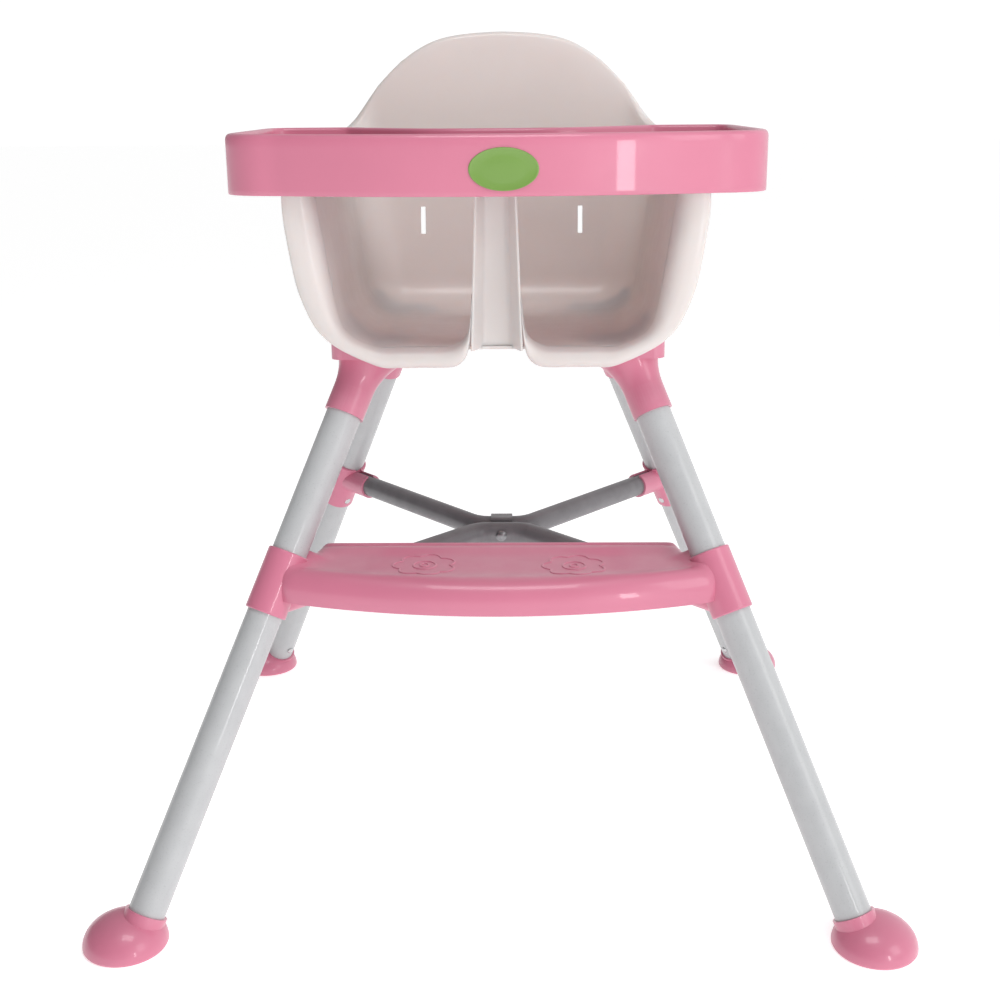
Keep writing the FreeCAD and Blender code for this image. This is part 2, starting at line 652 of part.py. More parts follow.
save("seat_shell", seat_shell())
save("tray", tray())
save("tray_badge", badge())
save("footrest", footrest())
for leg in LEGS:
    save("leg_socket_" + leg.name, leg_socket(leg))
    save("upper_leg_tube_" + leg.name, solid(tube(leg, JOINT_Z + 2.2, TUBE_TOP_Z)))
    save("leg_connector_" + leg.name, connector(leg))
    save("lower_leg_tube_" + leg.name, lower_tube(leg))
    save("foot_" + leg.name, foot(leg))
    for place_name, (tip, inner, bore, up) in BUTTON_FORM.items():
        z = BUTTON_Z[place_name]
        save(place_name + "_button_" + leg.name, leg.place(button_shape(tip, inner), z))
        save(place_name + "_button_spring_" + leg.name, leg.place(spring_shape(inner, bore, up), z))
for end in ENDS:
    save("brace_tube_" + end, brace_tube(end))
save("brace_saddle", brace_saddle())
save("brace_bolt", solid(brace_bolt()))
save("brace_nut", brace_nut())
SEAT_SCREWS = [p for leg in LEGS for p in socket_screw_points(leg)]
save("socket_screws", screw_group(SEAT_SCREWS, PAD_LOW_Z - SOCKET_PLATE, 3.9, 2.4, 1.75, 11.5))
REST_SCREWS = [p for leg in LEGS if leg.end == "front" for p in rest_screw_points(leg)]
save("footrest_screws", screw_group(REST_SCREWS, 303.0, 4.2, 2.6, 1.9, 14.0))
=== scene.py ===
import json
import math

import bmesh
import bpy
import numpy as np
from mathutils import Euler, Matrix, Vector


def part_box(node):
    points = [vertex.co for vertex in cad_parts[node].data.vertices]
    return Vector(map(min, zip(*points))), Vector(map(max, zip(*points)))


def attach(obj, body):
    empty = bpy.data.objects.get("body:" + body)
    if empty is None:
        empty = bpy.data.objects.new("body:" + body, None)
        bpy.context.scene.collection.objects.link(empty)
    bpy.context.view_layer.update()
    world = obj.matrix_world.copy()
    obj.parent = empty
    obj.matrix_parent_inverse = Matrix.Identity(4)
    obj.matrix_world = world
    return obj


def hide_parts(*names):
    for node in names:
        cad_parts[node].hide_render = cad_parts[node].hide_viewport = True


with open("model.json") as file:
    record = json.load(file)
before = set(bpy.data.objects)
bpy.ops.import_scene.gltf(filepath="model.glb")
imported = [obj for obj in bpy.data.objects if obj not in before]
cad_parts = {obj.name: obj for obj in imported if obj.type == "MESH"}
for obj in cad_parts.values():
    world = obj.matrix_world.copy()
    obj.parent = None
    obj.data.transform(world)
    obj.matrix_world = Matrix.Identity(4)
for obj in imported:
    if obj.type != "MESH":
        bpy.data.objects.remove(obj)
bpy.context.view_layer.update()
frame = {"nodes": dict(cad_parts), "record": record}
NODES = frame["nodes"]
SLOT_OF = {part["node"]: part["material_slot"] for part in frame["record"]["subparts"]}

# Shapes are drawn in millimetres, and build() makes metres of them.
MM = 0.001


def clamp(value):
    return min(1.0, max(0.0, value))


def mix(first, last, share):
    return first + (last - first) * share


def ease(share):
    """A share from 0 to 1, with a soft start and end."""
    return share * share * (3 - 2 * share)


# ---------------------------------------------------------------- node materials

# Noise scales, per metre.
CLOUDS = 9.0
SMEARS = 45.0
WEAR = 60.0
SPECKS = 700.0
GRAIN = 900.0

# How far the worn edges go towards the pale colour, and how pale that is.
WORN = 0.12
PALE = 0.95

# The Mix node's colour sockets, which share their names with its number sockets.
MIX_FIRST, MIX_SECOND, MIX_RESULT = 6, 7, 2


def principled(name):
    material = bpy.data.materials.new(name)
    material.use_nodes = True
    tree = material.node_tree
    return material, tree, tree.nodes["Principled BSDF"]


def feed(tree, value, socket):
    """Link a node's output to a socket, or set the socket to a constant."""
    if isinstance(value, bpy.types.NodeSocket):
        tree.links.new(value, socket)
    else:
        socket.default_value = value


def node(tree, kind, values):
    """A new node, with its named inputs fed."""
    made = tree.nodes.new(kind)
    for key, value in values.items():
        feed(tree, value, made.inputs[key])
    return made


def noise(tree, coord, scale, detail=2.0, rough=0.5):
    values = {"Vector": coord, "Scale": scale, "Detail": detail, "Roughness": rough}
    return node(tree, "ShaderNodeTexNoise", values).outputs["Fac"]


def ramp(tree, share, low, high):
    """Colour between two stops, each a place and a colour."""
    made = node(tree, "ShaderNodeValToRGB", {"Fac": share})
    for element, (place, colour) in zip(made.color_ramp.elements, (low, high)):
        element.position = place
        element.color = colour
    return made.outputs["Color"]


def map_range(tree, value, low, high, to_low, to_high):
    values = {"Value": value, "From Min": low, "From Max": high, "To Min": to_low, "To Max": to_high}
    return node(tree, "ShaderNodeMapRange", values).outputs["Result"]


def multiply(tree, first, second):
    made = tree.nodes.new("ShaderNodeMath")
    made.operation = "MULTIPLY"
    feed(tree, first, made.inputs[0])
    feed(tree, second, made.inputs[1])
    return made.outputs["Value"]


def blend(tree, share, first, second):
    made = tree.nodes.new("ShaderNodeMix")
    made.data_type = "RGBA"
    feed(tree, share, made.inputs["Factor"])
    feed(tree, first, made.inputs[MIX_FIRST])
    feed(tree, second, made.inputs[MIX_SECOND])
    return made.outputs[MIX_RESULT]


def rgba(colour, gain=1.0):
    return tuple(min(1.0, c * gain) for c in colour) + (1.0,)


def edge_mask(tree, coord):
    """Where the surface bends outwards, broken up by noise: worn edges."""
    bend = tree.nodes.new("ShaderNodeNewGeometry").outputs["Pointiness"]
    sharp = map_range(tree, bend, 0.515, 0.60, 0.0, 1.0)
    patchy = map_range(tree, noise(tree, coord, WEAR, 3.0), 0.35, 0.65, 0.25, 1.0)
    return multiply(tree, sharp, patchy)


def plastic(name, colour, rough, shade, peel=0.05, sss=0.0, coat=0.0, speck=0.0):
    """Moulded or painted skin: cloudy tint, faint specks, smears in the gloss, grain and worn edges."""
    material, tree, shader = principled(name)
    coord = tree.nodes.new("ShaderNodeTexCoord").outputs["Object"]
    cloud = noise(tree, coord, CLOUDS, 3.0)
    tint = ramp(tree, cloud, (0.3, rgba(colour, 1 - shade)), (0.7, rgba(colour, 1 + shade)))
    if speck:
        dots = map_range(tree, noise(tree, coord, SPECKS, 1.0), 0.62, 0.72, 0.0, speck)
        tint = blend(tree, dots, tint, rgba(colour, 0.55))
    pale = rgba([mix(c, PALE, 0.45) for c in colour])
    worn = multiply(tree, edge_mask(tree, coord), WORN)
    feed(tree, blend(tree, worn, tint, pale), shader.inputs["Base Color"])
    smear = noise(tree, coord, SMEARS, 4.0, 0.6)
    feed(tree, map_range(tree, smear, 0.3, 0.7, rough * 0.85, rough * 1.2), shader.inputs["Roughness"])
    bump = node(tree, "ShaderNodeBump", {"Strength": peel, "Distance": 0.0002,
                                         "Height": noise(tree, coord, GRAIN)})
    feed(tree, bump.outputs["Normal"], shader.inputs["Normal"])
    if sss:
        shader.inputs["Subsurface Weight"].default_value = sss
        shader.inputs["Subsurface Radius"].default_value = (1.0, 0.75, 0.65)
        shader.inputs["Subsurface Scale"].default_value = 0.008
    if coat:
        shader.inputs["Coat Weight"].default_value = coat
        shader.inputs["Coat Roughness"].default_value = 0.05
    return material


def metal(name, colour, rough):
    """Plain metal with a fine grain in its colour and gloss."""
    material, tree, shader = principled(name)
    coord = tree.nodes.new("ShaderNodeTexCoord").outputs["Object"]
    grain = noise(tree, coord, GRAIN)
    shader.inputs["Metallic"].default_value = 1.0
    tint = ramp(tree, grain, (0.3, rgba(colour, 0.85)), (0.7, rgba(colour)))
    feed(tree, tint, shader.inputs["Base Color"])
    feed(tree, map_range(tree, grain, 0.3, 0.7, rough * 0.8, rough * 1.2), shader.inputs["Roughness"])
    return material


FINISH = {
    "seat_plastic": plastic("seat_plastic", (0.680, 0.636, 0.622), 0.38, 0.02, 0.04, sss=0.5, coat=0.2),
    "coloured_plastic": plastic("coloured_plastic", (0.62, 0.188, 0.285), 0.36, 0.03, coat=0.35),
    "badge_plastic": plastic("badge_plastic", (0.17, 0.31, 0.06), 0.36, 0.06, coat=0.3),
    "tube_paint": plastic("tube_paint", (0.465, 0.475, 0.485), 0.38, 0.02, 0.06, coat=0.4, speck=0.25),
    "brace_paint": plastic("brace_paint", (0.150, 0.143, 0.153), 0.40, 0.06, 0.08, coat=0.3, speck=0.3),
    "button_steel": metal("button_steel", (0.66, 0.66, 0.67), 0.25),
    "spring_steel": metal("spring_steel", (0.35, 0.36, 0.40), 0.35),
    "fastener_steel": metal("fastener_steel", (0.30, 0.30, 0.31), 0.36),
}


# ---------------------------------------------------------------- mesh tools

# Edges sharper than this, in degrees, stay sharp in a smooth-shaded piece.
CREASE = 40

# Points closer than this, in metres, become one.
MERGE = 2e-6


def build(name, shape, body, slot, replaced):
    """A smooth-shaded piece from points and faces, in place of CAD nodes."""
    verts, faces = shape
    mesh = bpy.data.meshes.new(name)
    mesh.from_pydata([tuple(c * MM for c in v) for v in verts], [], faces)
    tool = bmesh.new()
    tool.from_mesh(mesh)
    bmesh.ops.remove_doubles(tool, verts=tool.verts, dist=MERGE)
    bmesh.ops.dissolve_degenerate(tool, dist=MERGE / 2, edges=tool.edges)
    bmesh.ops.recalc_face_normals(tool, faces=tool.faces)
    tool.to_mesh(mesh)
    tool.free()
    mesh.shade_smooth()
    mesh.set_sharp_from_angle(angle=math.radians(CREASE))
    mesh.materials.append(FINISH[slot])
    obj = bpy.data.objects.new(name, mesh)
    bpy.context.scene.collection.objects.link(obj)
    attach(obj, body)
    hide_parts(*replaced)


def rings_to_faces(rings, closed=True):
    """Quads between rings that all have the same number of points."""
    count = len(rings[0])
    span = count if closed else count - 1
    faces = []
    for row in range(len(rings) - 1):
        a = row * count
        b = a + count
        for i in range(span):
            j = (i + 1) % count
            faces.append((a + i, a + j, b + j, b + i))
    return faces


def join(*parts):
    """One list of points and faces from several."""
    verts, faces = [], []
    for more_verts, more_faces in parts:
        base = len(verts)
        verts += more_verts
        faces += [tuple(base + i for i in face) for face in more_faces]
    return verts, faces


def solid_of_rings(rings, loop=False):
    """Closed solid: rings along a path, each a closed section; capped, or joined up in a loop."""
    verts = [p for ring in rings for p in ring]
    faces = rings_to_faces(rings)
    count = len(rings[0])
    last = len(verts) - count
    if loop:
        faces += [(last + i, last + (i + 1) % count, (i + 1) % count, i) for i in range(count)]
    else:
        faces += [tuple(range(count)), tuple(range(last, len(verts)))]
    return verts, faces


def block(x0, x1, y0, y1, z0, z1):
    verts = [(x, y, z) for z in (z0, z1) for y in (y0, y1) for x in (x0, x1)]
    faces = [(0, 1, 3, 2), (4, 6, 7, 5), (0, 4, 5, 1), (2, 3, 7, 6), (0, 2, 6, 4), (1, 5, 7, 3)]
    return verts, faces


def plan_ring(plan, z):
    """A ring over plan points, at one height or at a height for each point."""
    return [(p[0], p[1], height) for p, height in zip(plan, np.broadcast_to(z, len(plan)))]


def line(a, b, count):
    """Points from a to b, without b."""
    return [(mix(a[0], b[0], i / count), mix(a[1], b[1], i / count)) for i in range(count)]


def arc(a, m, b, count):
    """Circle arc from a through m to b, without b."""
    ax, ay, mx, my, bx, by = *a, *m, *b
    d = 2 * (ax * (my - by) + mx * (by - ay) + bx * (ay - my))
    ux = ((ax**2 + ay**2) * (my - by) + (mx**2 + my**2) * (by - ay) + (bx**2 + by**2) * (ay - my)) / d
    uy = ((ax**2 + ay**2) * (bx - mx) + (mx**2 + my**2) * (ax - bx) + (bx**2 + by**2) * (mx - ax)) / d
    radius = math.hypot(ax - ux, ay - uy)
    first = math.atan2(ay - uy, ax - ux)
    middle = (math.atan2(my - uy, mx - ux) - first) % (2 * math.pi)
    sweep = (math.atan2(by - uy, bx - ux) - first) % (2 * math.pi)
    if middle > sweep:
        sweep -= 2 * math.pi
    return [(ux + radius * math.cos(first + sweep * i / count),
             uy + radius * math.sin(first + sweep * i / count)) for i in range(count)]


def smooth_curve(points, per_span=12):
    """Catmull-Rom curve through the points, with both ends."""
    out = []
    last = len(points) - 1
    for k in range(last):
        near = (points[max(k - 1, 0)], points[k], points[k + 1], points[min(k + 2, last)])
        for i in range(per_span):
            t = i / per_span
            out.append(tuple(0.5 * (2 * b + (c - a) * t + (2 * a - 5 * b + 4 * c - d) * t * t
                                    + (3 * b - a - 3 * c + d) * t**3) for a, b, c, d in zip(*near)))
    return out + [tuple(points[-1])]


def along(curve, x):
    """Height of a curve that runs in x, at a place on the way."""
    return float(np.interp(x, [p[0] for p in curve], [p[1] for p in curve]))


def mirrored(points):
    """The other half of an outline, from the middle line back to its start."""
    return [(-x, y) for x, y in reversed(points)]


def resample(points, count, closed=False):
    """Points evenly spaced along a line."""
    pts = np.array(points + ([points[0]] if closed else []), float)
    run = np.concatenate([[0], np.cumsum(np.linalg.norm(np.diff(pts, axis=0), axis=1))])
    at = np.linspace(0, run[-1], count + 1)[:-1] if closed else np.linspace(0, run[-1], count)
    return np.stack([np.interp(at, run, pts[:, k]) for k in range(pts.shape[1])], 1)


def relax(points, passes):
    """A closed outline with its corners rounded."""
    for _ in range(passes):
        points = (np.roll(points, 1, 0) + 2 * points + np.roll(points, -1, 0)) / 4
    return points


def inward(points, closed=True):
    """Unit normals of a line, to its left."""
    if closed:
        step = np.roll(points, -1, 0) - np.roll(points, 1, 0)
    else:
        step = np.gradient(points, axis=0)
    normal = np.stack([-step[:, 1], step[:, 0]], 1)
    return normal / np.linalg.norm(normal, axis=1)[:, None]


# ---------------------------------------------------------------- seat

SEAT_LOW, SEAT_HIGH = [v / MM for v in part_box("seat_shell")]
FRONT_Y = SEAT_LOW.y
ARM_Z = 716.0
PAN_Z = 532.0
WALL = 3.0

# The bucket's plan: half its width and its rear at the pan, and how much each leans out with height.
HALF_WIDTH, SIDE_LEAN = 151.0, 0.150
REAR_Y, REAR_LEAN = 158.0, 0.116
BUCKET_FRONT = FRONT_Y + 19.0
CORNER_R = 46.0
HEEL_R = 38.0

# Rings up the rounded heel and up the wall above it.
HEEL_STEPS = 7
WALL_STEPS = 22

# The rolled edge: how far its flange reaches out, and how tall its lip is, on the arms and at the back.
# The flange narrows along y, from NARROW_Y on.
ARM_FLANGE, BACK_FLANGE = 24.0, 9.0
ARM_LIP, BACK_LIP = 11.0, 7.0
NARROW_Y, NARROW_LENGTH = 48.0, 62.0

# The edge's height in the front view, by x, and in the side view, by y.
ARCH = smooth_curve([(0, SEAT_HIGH.z), (45, 842), (80, 834), (115, 813), (147, 781), (163, 759), (175, 744),
                     (192, 733), (240, 728)])
SWEEP = smooth_curve([(60, ARM_Z), (78, ARM_Z), (96, 722), (110, 739), (119, 764), (125, 800), (128, 870)])
SWEEP_SOFT = 5.0

# Harness slots in the back. A column's place is a share of the back's half width. A slot lies between
# two columns at SLOT_T - SLOT_GAP and SLOT_T + SLOT_GAP, and other columns keep SLOT_CLEAR away.
SLOT_X = 92.0
SLOT_HALF = 2.6
SLOT_Z = (618.0, 649.0)
SLOT_T = SLOT_X / (HALF_WIDTH - CORNER_R + SIDE_LEAN * (sum(SLOT_Z) / 2 - PAN_Z))
SLOT_GAP = 0.0215
SLOT_CLEAR = 0.034

# The front frame's lower outline, from the middle outwards.
FRAME_LOW = smooth_curve([(0, 517), (93, 517), (117, 519.5), (164, 545), (185.5, 583)])

# Half the thickness of the post's wall, which its tips are rounded to.
POST_R = 1.3

# Leg pads: centres, half sizes in x and y, corner radius, lowest and highest z.
PAD_PLACE = {"front": (127.0, -106.0), "rear": (112.5, 106.0)}
PAD_X, PAD_Y = 37, 34
PAD_R = 12.0
PAD_LOW, PAD_HIGH = 524.0, 556.0


def seat_plan(column, z, inset):
    """Point of the bucket's wall: a place along its U-shaped plan, at a height, moved inwards."""
    kind, share = column
    half = HALF_WIDTH + SIDE_LEAN * (z - PAN_Z)
    rear = REAR_Y + REAR_LEAN * (z - PAN_Z)
    cx, cy = half - CORNER_R, rear - CORNER_R
    if kind == "rear":
        return (share * cx, rear - inset)
    side = -1 if kind.endswith("left") else 1
    if kind.startswith("side"):
        return (side * (half - inset), mix(BUCKET_FRONT, cy, share))
    angle = share * math.pi / 2
    radius = CORNER_R - inset
    return (side * (cx + radius * math.cos(angle)), cy + radius * math.sin(angle))


def seat_top(column):
    """Height of the seat's edge, where its side view and its arched front view both allow it."""
    z = 740.0
    for _ in range(12):
        x, y = seat_plan(column, z, 0.5 - BACK_FLANGE)
        arch, sweep = along(ARCH, abs(x)), along(SWEEP, y)
        z = min(arch, sweep) - SWEEP_SOFT * math.log(1 + math.exp(-abs(arch - sweep) / SWEEP_SOFT))
    return z


def seat_columns():
    """Places along the bucket's plan, closer together where the arms sweep up."""
    side = list(np.linspace(0, 0.72, 22)) + list(np.linspace(0.735, 1.0, 36))
    left = [("side_left", t) for t in side] + [("turn_left", t) for t in np.linspace(0, 1, 22)[1:]]
    rear = [t for t in np.linspace(-1, 1, 56)[1:-1] if abs(abs(t) - SLOT_T) > SLOT_CLEAR]
    rear = sorted(rear + [s * (SLOT_T + d) for s in (-1, 1) for d in (-SLOT_GAP, SLOT_GAP)])
    right = [(kind.replace("left", "right"), t) for kind, t in reversed(left)]
    return left + [("rear", t) for t in rear] + right


def slot_columns(columns):
    """The first of each two neighbouring columns that a harness slot lies between."""
    return [k for k in range(len(columns) - 1) if columns[k][0] == columns[k + 1][0] == "rear"
            and abs(abs(columns[k][1] + columns[k + 1][1]) / 2 - SLOT_T) < 0.001]


def seat_rings(columns):
    """The bucket's skin: up its inside, over the rolled edge and down its outside."""
    tops = np.array([seat_top(c) for c in columns])
    for _ in range(2):
        tops[1:-1] = (tops[:-2] + 2 * tops[1:-1] + tops[2:]) / 4
    plan_y = np.array([seat_plan(c, ARM_Z, 0)[1] for c in columns])
    flange = mix(ARM_FLANGE, BACK_FLANGE, ease(np.clip((plan_y - NARROW_Y) / NARROW_LENGTH, 0, 1)))
    lip = mix(ARM_LIP, BACK_LIP, np.clip((tops - ARM_Z) / 60.0, 0, 1))

    def ring(inset, z):
        """Inset and height are one number, or one for each column."""
        insets, heights = np.broadcast_to(inset, tops.shape), np.broadcast_to(z, tops.shape)
        return [(*seat_plan(c, height, i), height) for c, i, height in zip(columns, insets, heights)]

    angles = [i / HEEL_STEPS * math.pi / 2 for i in range(HEEL_STEPS + 1)]
    shares = [i / WALL_STEPS for i in range(1, WALL_STEPS + 1)]
    low = PAN_Z + HEEL_R
    inner_r = HEEL_R - WALL
    # Round the heel and up the inside.
    rows = [ring(WALL + inner_r * (1 - math.sin(a)), PAN_Z + WALL + inner_r * (1 - math.cos(a)))
            for a in angles]
    rows += [ring(WALL, mix(low, tops - 5, s)) for s in shares]
    # Over the rim, out along the flange, round its lip and back below it.
    rows += [ring(inset, tops + dz) for inset, dz in ((2.2, -2.4), (0.2, -0.7), (-2.5, 0.0))]
    rows += [ring(-2.5 - (flange - 5.0) * s, tops) for s in (0.45, 0.9)]
    rows += [ring(-flange + back, tops + dz) for back, dz in ((1.6, -0.3), (0.5, -1.2), (0.0, -2.6))]
    rows += [ring(-flange + back, tops - lip + dz)
             for back, dz in ((0.0, 1.0), (0.4, 0.0), (1.3, -0.5), (2.2, 0.0))]
    rows += [ring(-flange + back, tops + dz) for back, dz in ((2.6, -4.6), (3.6, -3.2), (5.0, -3.0))]
    rows += [ring(-2.2, tops - 3.0), ring(-0.4, tops - 4.0)]
    # Down the outside and round the heel to the pan.
    rows += [ring(0.0, mix(low, tops - 8, s)) for s in reversed(shares)]
    rows += [ring(HEEL_R * (1 - math.sin(a)), PAN_Z + HEEL_R * (1 - math.cos(a))) for a in reversed(angles)]
    return rows


def open_slots(rows, columns):
    """Move the skin's points to the edges of the harness slots.

    Returns each slot's column and its first and last row, on the inside and then on the outside.
    """
    inner = range(HEEL_STEPS, HEEL_STEPS + WALL_STEPS + 1)
    outer = range(len(rows) - inner.stop, len(rows) - inner.start)
    holes = []
    for k in slot_columns(columns):
        side = 1 if columns[k][1] > 0 else -1
        edges = sorted((side * (SLOT_X - SLOT_HALF), side * (SLOT_X + SLOT_HALF)))
        for span, inset in ((inner, WALL), (outer, 0.0)):
            ends = [min(span, key=lambda r: abs(rows[r][k][2] - z)) for z in SLOT_Z]
            for column, x in zip((k, k + 1), edges):
                for r in range(min(ends), max(ends) + 1):
                    rows[r][column] = (x, *rows[r][column][1:])
                for r, z in zip(ends, SLOT_Z):
                    rows[r][column] = (x, seat_plan(columns[column], z, inset)[1], z)
            holes.append((k, min(ends), max(ends)))
    return holes


def slot_faces(holes, count):
    """Faces through the wall, round each slot, between its edges inside and outside."""
    faces = []
    for (k, a0, a1), (_, b0, b1) in zip(holes[::2], holes[1::2]):
        near = [(r, k) for r in range(a0, a1 + 1)] + [(r, k + 1) for r in range(a1, a0 - 1, -1)]
        far = [(r, k) for r in range(b1, b0 - 1, -1)] + [(r, k + 1) for r in range(b0, b1 + 1)]
        steps = max(len(near), len(far))
        for i in range(steps):
            j = (i + 1) % steps
            corners = (near[i * len(near) // steps], near[j * len(near) // steps],
                       far[j * len(far) // steps], far[i * len(far) // steps])
            loop = tuple(dict.fromkeys(r * count + column for r, column in corners))
            if len(loop) > 2:
                faces.append(loop)
    return faces


def seat_bucket():
    """Wall, pan and rolled edge, as one closed skin whose front ends are closed too."""
    columns = seat_columns()
    rows = seat_rings(columns)
    holes = open_slots(rows, columns)
    count = len(columns)
    last = (len(rows) - 1) * count
    cut = {r * count + k for k, low, high in holes for r in range(low, high)}
    faces = [f for f in rings_to_faces(rows, closed=False) if f[0] not in cut]
    faces += slot_faces(holes, count)
    faces += [tuple(range(count)), tuple(range(last, last + count))]
    faces += [tuple(r * count + end for r in range(len(rows))) for end in (0, count - 1)]
    faces.append((0, count - 1, last + count - 1, last))
    return [p for row in rows for p in row], faces


def front_band(side):
    """One side of the front frame: a rolled band from the arm, round the corner and up to the post."""
    outer = smooth_curve([(197.5, ARM_Z), (197.5, 698), (199.5, 668), (195, 628), (185.5, 583), (164, 545),
                          (117, 519.5), (93, 517), (70, 517), (46, 517), (36.5, 519.6), (29.5, 527),
                          (26.6, 536), (25.3, 545), (24.2, 558), (23.2, 578)], 10)
    inner = smooth_curve([(175.4, ARM_Z), (172.8, 698), (168.2, 668), (162.3, 628), (155.4, 583), (145, 551),
                          (117, 535.8), (93, 535), (70, 535), (52, 535.2), (42, 537.2), (33, 542.5),
                          (28.6, 549), (26.6, 556), (25.0, 568), (23.9, 586)], 10)
    rings = []
    for outer_edge, inner_edge in zip(resample(outer, 120), resample(inner, 120)):
        width = np.linalg.norm(inner_edge - outer_edge)
        way = (inner_edge - outer_edge) / width
        gentle = min(1.0, width / 22.0)
        wall = min(2.6, width * 0.45)
        section = [(wall, 11), (wall * 0.8, 11.5), (wall * 0.3, 11.5), (0, 11), (0, 4.0 * gentle),
                   (wall * 0.3, 1.9 * gentle), (wall, 0.5), (width * 0.28, 0.0), (width * 0.45, 0.0),
                   (width * 0.58, 0.7 * gentle), (width * 0.70, 2.2 * gentle), (width * 0.80, 4.4 * gentle),
                   (width * 0.89, 7.6 * gentle), (width * 0.96, 11.5), (width - 0.1, 16.5),
                   (width - 0.5, 21.0), (width - 1.5, 22.0), (width - 2.6 * gentle, 18.0),
                   (width * 0.72, 8.0), (width * 0.45, 4.5), (wall + 0.4, 4.5), (wall, 6.0)]
        ring = []
        for across, back in section:
            x, z = outer_edge + way * across
            ring.append((side * x, FRONT_Y + back, z))
        rings.append(ring)
    return solid_of_rings(rings)


def round_end(point, normal):
    """Points round a tip of the post's wall."""
    ahead = np.array([normal[1], -normal[0]])
    return [point + (ahead * math.sin(a) - normal * math.cos(a)) * POST_R
            for a in (math.pi * 0.75, math.pi / 2, math.pi / 4)]


def post():
    """Channel open to the front, with rounded tips and inside corners."""
    rings = []
    for z in np.linspace(533.0, 715.0, 15):
        share = (z - PAN_Z) / (ARM_Z - PAN_Z)
        half, web, depth = mix(25.0, 18.5, share), mix(14.7, 11.0, share), mix(24.8, 22.0, share)
        tip = (-half + POST_R, POST_R)
        x, y = -web - 0.6, depth - POST_R
        bend, flat = (x - 1.4, y - 5), (x + 5.5, y)
        path = line(tip, bend, 6) + arc(bend, (x + 0.9, y - 1.3), flat, 6) + [flat]
        path = resample(path + mirrored(path), 40)
        normal = inward(path, closed=False)
        near, far = path + normal * POST_R, path - normal * POST_R
        loop = [*near, *round_end(path[-1], normal[-1]), *far[::-1], *round_end(path[0], -normal[0])]
        rings.append([(p[0], FRONT_Y + p[1], z) for p in loop])
    return solid_of_rings(rings)


def bucket_under(x, y):
    """Height of the bucket's outer skin over a point of the plan."""
    half, rear = HALF_WIDTH + 2.5, REAR_Y + 2.0
    cx, cy = half - CORNER_R, rear - CORNER_R
    if abs(x) > cx and y > cy:
        inset = CORNER_R - math.hypot(abs(x) - cx, y - cy)
    else:
        inset = min(half - abs(x), rear - y)
    reach = clamp(1 - inset / HEEL_R)
    return PAN_Z + HEEL_R * (1 - math.sqrt(1 - reach * reach))


def leg_pad(side, end):
    """Block under the bucket that a leg socket is screwed to."""
    cx, cy = PAD_PLACE[end]
    # Distances from the pad's end, closer together where its corners turn.
    first_half = [0, 0.6, 2, 4, 7, 12, 18, 24, 30, PAD_X]
    rings = []
    for d in first_half + [2 * PAD_X - e for e in reversed(first_half[:-1])]:
        x = cx - PAD_X + d
        near = min(PAD_R, d, 2 * PAD_X - d)
        half = PAD_Y - PAD_R + math.sqrt(PAD_R**2 - (PAD_R - near)**2)
        low = max(PAD_LOW, along(FRAME_LOW, x))
        ys = np.linspace(cy - half, cy + half, 24)
        tops = [max(low + 0.5, min(PAD_HIGH, bucket_under(x, y) + 1.0)) for y in ys]
        rings.append([(side * x, y, low) for y in ys]
                     + [(side * x, y, z) for y, z in zip(ys[::-1], tops[::-1])])
    return solid_of_rings(rings)


# ---------------------------------------------------------------- tray

TRAY_LOW, TRAY_HIGH = [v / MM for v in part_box("tray")]
TRAY_FLOOR_Z = 719.3
FRONT_RIM_Z = 733.5

# The front is an arc that goes back by BOW_RISE at its ends.
BOW_END = (206.0, -176.0)
BOW_RISE = 40.0


def tray_outline():
    """Plan of the tray: bowed front, round corners and a bay for the child's chest."""
    front, half, rear = TRAY_LOW.y, TRAY_HIGH.x, TRAY_HIGH.y
    turn, wing = (half, -130.0), (160.0, rear)
    r0, r1, r2 = (half - 3, rear - 26), (half - 10.8, rear - 7.8), (half - 29, rear)
    right = arc((0, front), (BOW_END[0] / 2, front + 9.8), BOW_END, 60)
    right += arc(BOW_END, (240.0, -162.2), turn, 24) + line(turn, r0, 40) + arc(r0, r1, r2, 16)
    right += line(r2, wing, 20)
    half_bay = [wing, (128, rear - 30), (70, rear - 78)]
    bay = smooth_curve(half_bay + [(0, rear - 88)] + mirrored(half_bay))
    return relax(resample(right + bay[:-1] + mirrored(right[1:]), 460, closed=True), 8)


def skirt_low(x, y):
    """The skirt's lower edge, which is cut away where the tray sits on the seat's arms."""
    over_arm = clamp((216.0 - abs(x)) / 4) * clamp((y + 122) / 4)
    return mix(TRAY_LOW.z, 715.6, over_arm)


